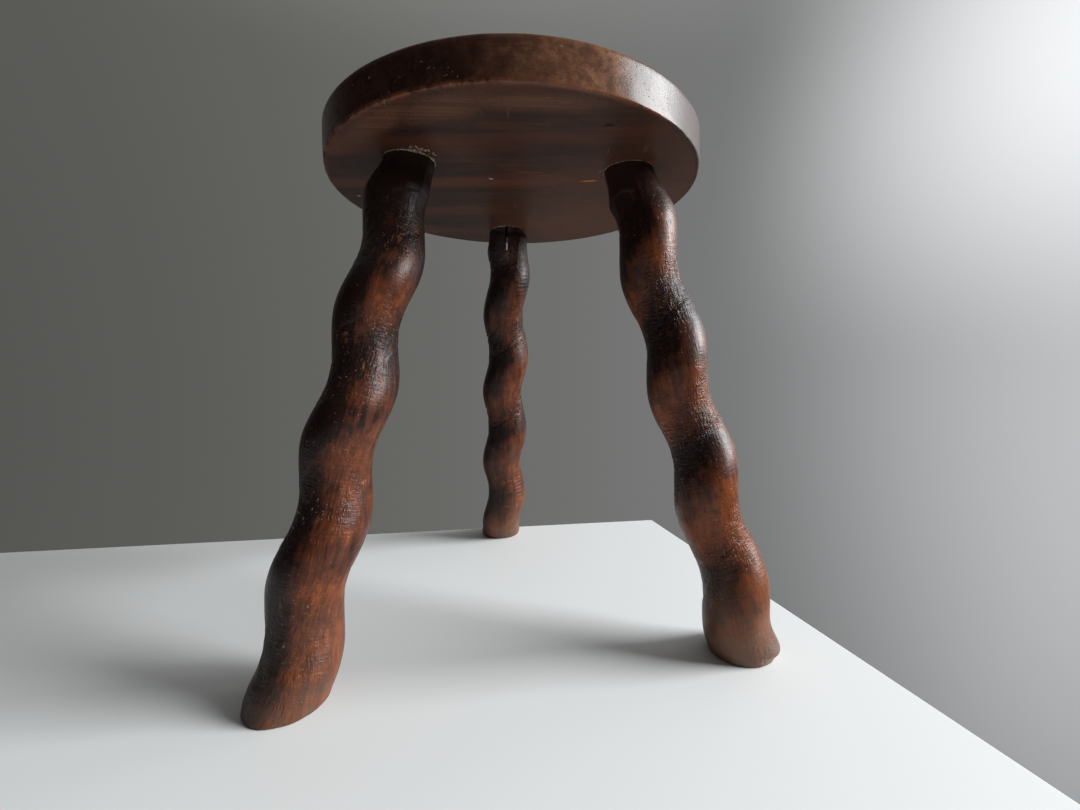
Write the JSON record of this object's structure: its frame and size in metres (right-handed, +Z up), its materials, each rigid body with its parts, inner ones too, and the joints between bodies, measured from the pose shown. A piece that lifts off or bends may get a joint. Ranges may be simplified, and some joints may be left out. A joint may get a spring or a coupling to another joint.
{
  "type": "three leg stool",
  "caption": "Low rustic stool: a thick round wooden seat on splayed legs carved in a corkscrew twist, their round tenons wedged through the seat.",
  "frame": {"origin": "on the floor, under the middle of the stool's bounding box", "axes": "+Z up, +Y towards the back leg, +X to the right as seen from the front; the seat's grain runs along X"},
  "size_m": [0.3922, 0.4008, 0.408],
  "materials": {
    "seat_wood": "dark brown stain under satin wax, worn lighter at the edges",
    "leg_wood": "red-brown stain under satin varnish, darker in the hollows of the carving",
    "wedge_wood": "stained end grain, satin"
  },
  "bodies": {
    "root": {"seat": "seat_wood", "back_leg": "leg_wood", "left_leg": "leg_wood", "right_leg": "leg_wood", "back_wedge": "wedge_wood", "left_wedge": "wedge_wood", "right_wedge": "wedge_wood"}
  },
  "joints": []
}
